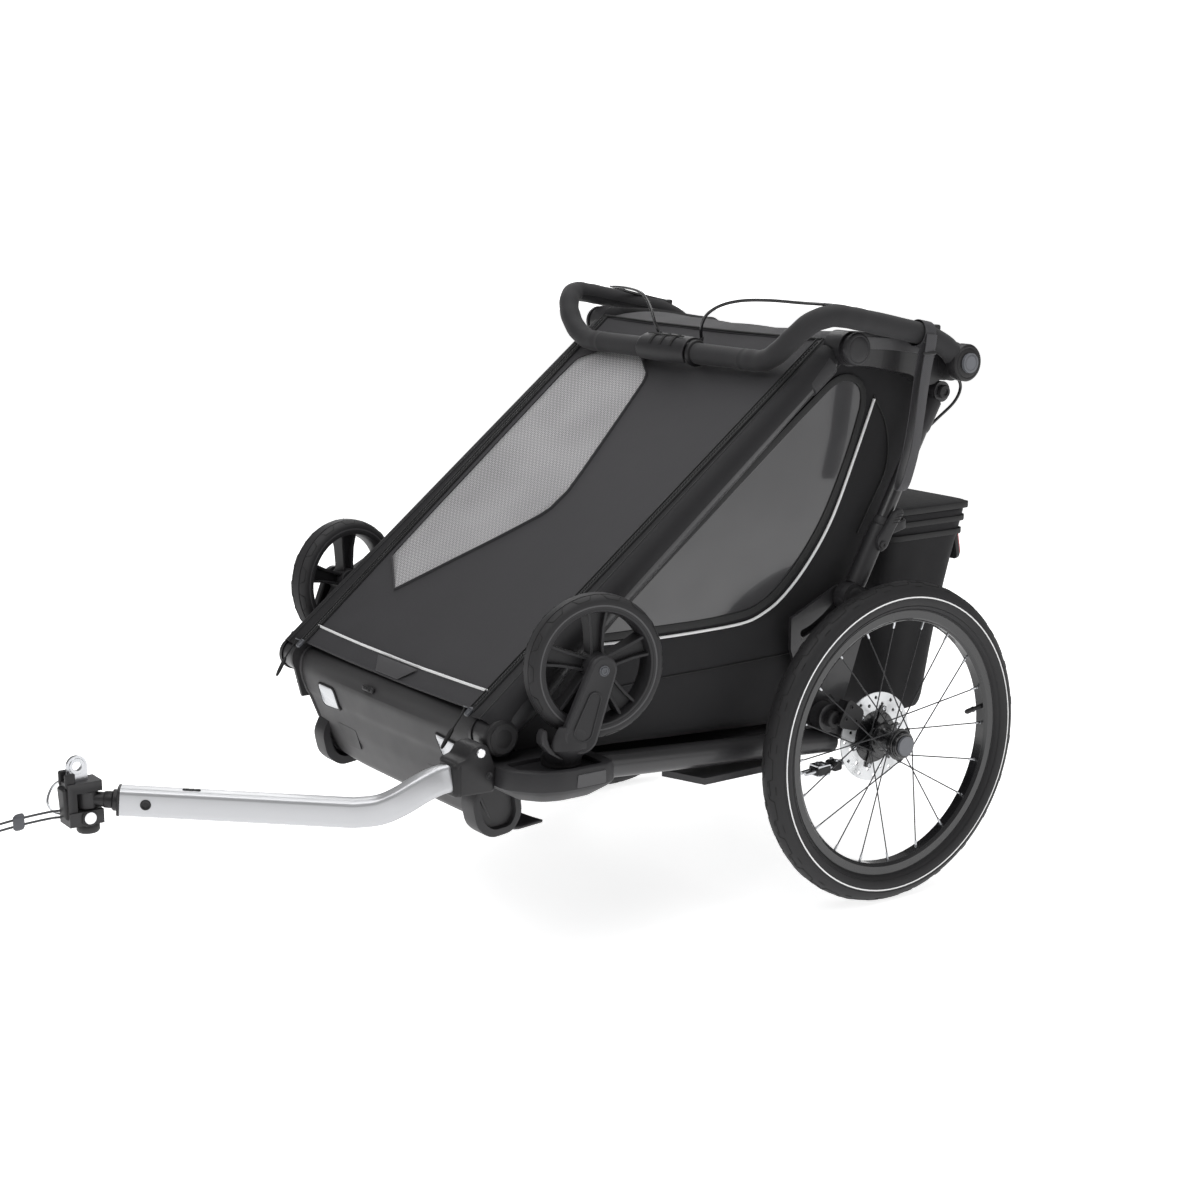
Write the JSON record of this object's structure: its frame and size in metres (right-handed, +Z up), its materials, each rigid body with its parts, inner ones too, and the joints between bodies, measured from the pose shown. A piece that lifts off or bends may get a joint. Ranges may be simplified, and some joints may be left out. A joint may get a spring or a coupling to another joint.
{
  "type": "child bicycle trailer",
  "caption": "Folding child bicycle trailer: sprung spoked rear wheels, side tow arm with hitch, reversible handlebar, docked stroller wheels, cover and cargo bag.",
  "frame": {"origin": "on the floor below the middle of the whole length and width, safety cord left out", "axes": "-Y towards the hitch, the way the trailer travels; +X towards its left side, where the tow arm is; +Z up"},
  "size_m": [0.8, 1.6357, 0.9384],
  "materials": {
    "painted_frame": "satin black",
    "moulded_black": "fine grained",
    "moulded_grey": "fine grained charcoal",
    "cover_fabric": "ribbed charcoal weave",
    "black_fabric": "plain dark weave",
    "seat_fabric": "soft padded weave",
    "webbing": "flat woven strap",
    "foam_grip": "closed cell foam",
    "tyre_rubber": "matte",
    "rim_black": "anodised black",
    "hub_black": "semi gloss",
    "disc_steel": "ground",
    "spring_steel": "satin",
    "arm_aluminium": "anodised",
    "button_grey": "smooth",
    "button_silver": "bright",
    "cable_housing": "smooth",
    "cord_grey": "braided"
  },
  "bodies": {
    "chassis": {"side_rails": "painted_frame", "rear_crossbar": "painted_frame", "docks": "moulded_grey", "bumper_shell": "moulded_grey", "skid_loops": "moulded_grey", "foot_plates": "moulded_black", "floor_panel": "black_fabric", "seat_cushion": "seat_fabric", "seat_back": "seat_fabric", "side_panel_left": "black_fabric", "side_panel_right": "black_fabric", "front_hubs": "moulded_black", "tow_socket": "moulded_black", "cargo_bag": "black_fabric", "frame_cables": "cable_housing"},
    "cargo_lid": {"cargo_lid": "black_fabric"},
    "upper_frame": {"front_tubes": "painted_frame", "top_link_left": "moulded_black", "top_link_right": "moulded_black", "top_crossbar": "painted_frame", "front_cover": "cover_fabric", "canopy": "cover_fabric"},
    "struts": {"strut_left": "painted_frame", "strut_right": "painted_frame"},
    "fold_latch_left": {"fold_latch_left": "moulded_grey"},
    "fold_latch_right": {"fold_latch_right": "moulded_grey"},
    "handlebar": {"handlebar": "foam_grip", "bar_cables": "cable_housing", "wrist_strap": "webbing"},
    "brake_lever": {"brake_lever": "moulded_black"},
    "tow_arm": {"tow_arm": "arm_aluminium"},
    "tow_button": {"tow_button": "button_silver"},
    "hitch_yoke": {"hitch_yoke": "hub_black"},
    "hitch_body": {"hitch_body": "hub_black", "axle_plate": "spring_steel", "safety_cord": "cord_grey", "cord_slider": "button_grey"},
    "lock_button": {"lock_button": "button_silver"},
    "swing_arm_left": {"swing_arm_left": "moulded_black", "leaf_spring_left": "spring_steel"},
    "wheel_left": {"tyre_left": "tyre_rubber", "rim_left": "rim_black", "spokes_left": "rim_black", "hub_left": "hub_black", "brake_disc_left": "disc_steel"},
    "release_button_left": {"release_button_left": "button_grey"},
    "pivot_button_left": {"pivot_button_left": "button_grey"},
    "fork_left": {"fork_left": "moulded_grey"},
    "caster_left": {"caster_left": "tyre_rubber"},
    "swing_arm_right": {"swing_arm_right": "moulded_black", "leaf_spring_right": "spring_steel"},
    "wheel_right": {"tyre_right": "tyre_rubber", "rim_right": "rim_black", "spokes_right": "rim_black", "hub_right": "hub_black", "brake_disc_right": "disc_steel"},
    "release_button_right": {"release_button_right": "button_grey"},
    "pivot_button_right": {"pivot_button_right": "button_grey"},
    "fork_right": {"fork_right": "moulded_grey"},
    "caster_right": {"caster_right": "tyre_rubber"}
  },
  "joints": [
    {"name": "frame_fold", "type": "hinge", "parent": "chassis", "child": "upper_frame", "pos_m": [0, -0.212, 0.352], "axis": [-1, 0, 0], "range_deg": [0, 24], "deforming": ["side_panel_left", "side_panel_right", "seat_back", "cargo_bag", "frame_cables", "cargo_lid"]},
    {"name": "strut_swing", "type": "hinge", "parent": "upper_frame", "child": "struts", "pos_m": [0, 0.586, 0.775], "axis": [-1, 0, 0], "range_deg": [0, 38.5]},
    {"name": "handlebar_turn", "type": "hinge", "parent": "upper_frame", "child": "handlebar", "pos_m": [0, 0.608, 0.82], "axis": [-1, 0, 0], "range_deg": [0, 190], "deforming": ["wrist_strap"]},
    {"name": "brake_lever_squeeze", "type": "hinge", "parent": "handlebar", "child": "brake_lever", "pos_m": [0, 0.325, 0.8421], "axis": [1, 0, 0], "range_deg": [0, 7], "stiffness_Nm_per_rad": 4, "springref_deg": -4.58},
    {"name": "cargo_lid_open", "type": "hinge", "parent": "chassis", "child": "cargo_lid", "pos_m": [0, 0.564, 0.5705], "axis": [1, 0, 0], "range_deg": [0, 90]},
    {"name": "tow_arm_pull", "type": "slide", "parent": "chassis", "child": "tow_arm", "axis": [0, -1, 0], "range_m": [0, 0.045]},
    {"name": "tow_button_press", "type": "slide", "parent": "chassis", "child": "tow_button", "axis": [-1, 0, 0], "range_m": [0, 0.004], "stiffness_N_per_m": 500, "springref_m": -0.003},
    {"name": "hitch_roll", "type": "hinge", "parent": "tow_arm", "child": "hitch_yoke", "pos_m": [0.1, -0.68, 0.296], "axis": [-0.4942, -0.8649, 0.0878], "range_deg": [-30, 30]},
    {"name": "hitch_yaw", "type": "hinge", "parent": "hitch_yoke", "child": "hitch_body", "pos_m": [0.078, -0.716, 0.3], "axis": [0, 0, 1], "range_deg": [-60, 45]},
    {"name": "lock_button_press", "type": "slide", "parent": "hitch_body", "child": "lock_button", "axis": [-1, 0, 0], "range_m": [0, 0.003], "stiffness_N_per_m": 400, "springref_m": -0.003},
    {"name": "suspension_left", "type": "hinge", "parent": "chassis", "child": "swing_arm_left", "pos_m": [0.311, 0.372, 0.291], "axis": [1, 0, 0], "range_deg": [0, 8], "stiffness_Nm_per_rad": 160, "springref_deg": -8.02},
    {"name": "wheel_spin_left", "type": "hinge", "parent": "swing_arm_left", "child": "wheel_left", "pos_m": [0.3665, 0.458, 0.25], "axis": [1, 0, 0], "continuous": true},
    {"name": "release_button_press_left", "type": "slide", "parent": "wheel_left", "child": "release_button_left", "axis": [-1, 0, 0], "range_m": [0, 0.002], "stiffness_N_per_m": 600, "springref_m": -0.003},
    {"name": "pivot_button_press_left", "type": "slide", "parent": "handlebar", "child": "pivot_button_left", "axis": [-1, 0, 0], "range_m": [0, 0.003], "stiffness_N_per_m": 500, "springref_m": -0.003},
    {"name": "fold_latch_turn_left", "type": "hinge", "parent": "struts", "child": "fold_latch_left", "pos_m": [0.325, 0.462, 0.551], "axis": [-1, 0, 0], "range_deg": [0, 40]},
    {"name": "fork_lift_left", "type": "slide", "parent": "chassis", "child": "fork_left", "axis": [0, 0, 1], "range_m": [0, 0.04]},
    {"name": "caster_spin_left", "type": "hinge", "parent": "fork_left", "child": "caster_left", "pos_m": [0.355, -0.092, 0.447], "axis": [0.9823, -0.1874, 0], "continuous": true},
    {"name": "suspension_right", "type": "hinge", "parent": "chassis", "child": "swing_arm_right", "pos_m": [-0.311, 0.372, 0.291], "axis": [1, 0, 0], "range_deg": [0, 8], "stiffness_Nm_per_rad": 160, "springref_deg": -8.02},
    {"name": "wheel_spin_right", "type": "hinge", "parent": "swing_arm_right", "child": "wheel_right", "pos_m": [-0.3665, 0.458, 0.25], "axis": [1, 0, 0], "continuous": true},
    {"name": "release_button_press_right", "type": "slide", "parent": "wheel_right", "child": "release_button_right", "axis": [1, 0, 0], "range_m": [0, 0.002], "stiffness_N_per_m": 600, "springref_m": -0.003},
    {"name": "pivot_button_press_right", "type": "slide", "parent": "handlebar", "child": "pivot_button_right", "axis": [1, 0, 0], "range_m": [0, 0.003], "stiffness_N_per_m": 500, "springref_m": -0.003},
    {"name": "fold_latch_turn_right", "type": "hinge", "parent": "struts", "child": "fold_latch_right", "pos_m": [-0.325, 0.462, 0.551], "axis": [-1, 0, 0], "range_deg": [0, 40]},
    {"name": "fork_lift_right", "type": "slide", "parent": "chassis", "child": "fork_right", "axis": [0, 0, 1], "range_m": [0, 0.04]},
    {"name": "caster_spin_right", "type": "hinge", "parent": "fork_right", "child": "caster_right", "pos_m": [-0.355, -0.092, 0.447], "axis": [-0.9823, -0.1874, 0], "continuous": true}
  ],
  "couplings": [
    {"joint": "strut_swing", "follows": "frame_fold", "ratio": 1.6}
  ]
}
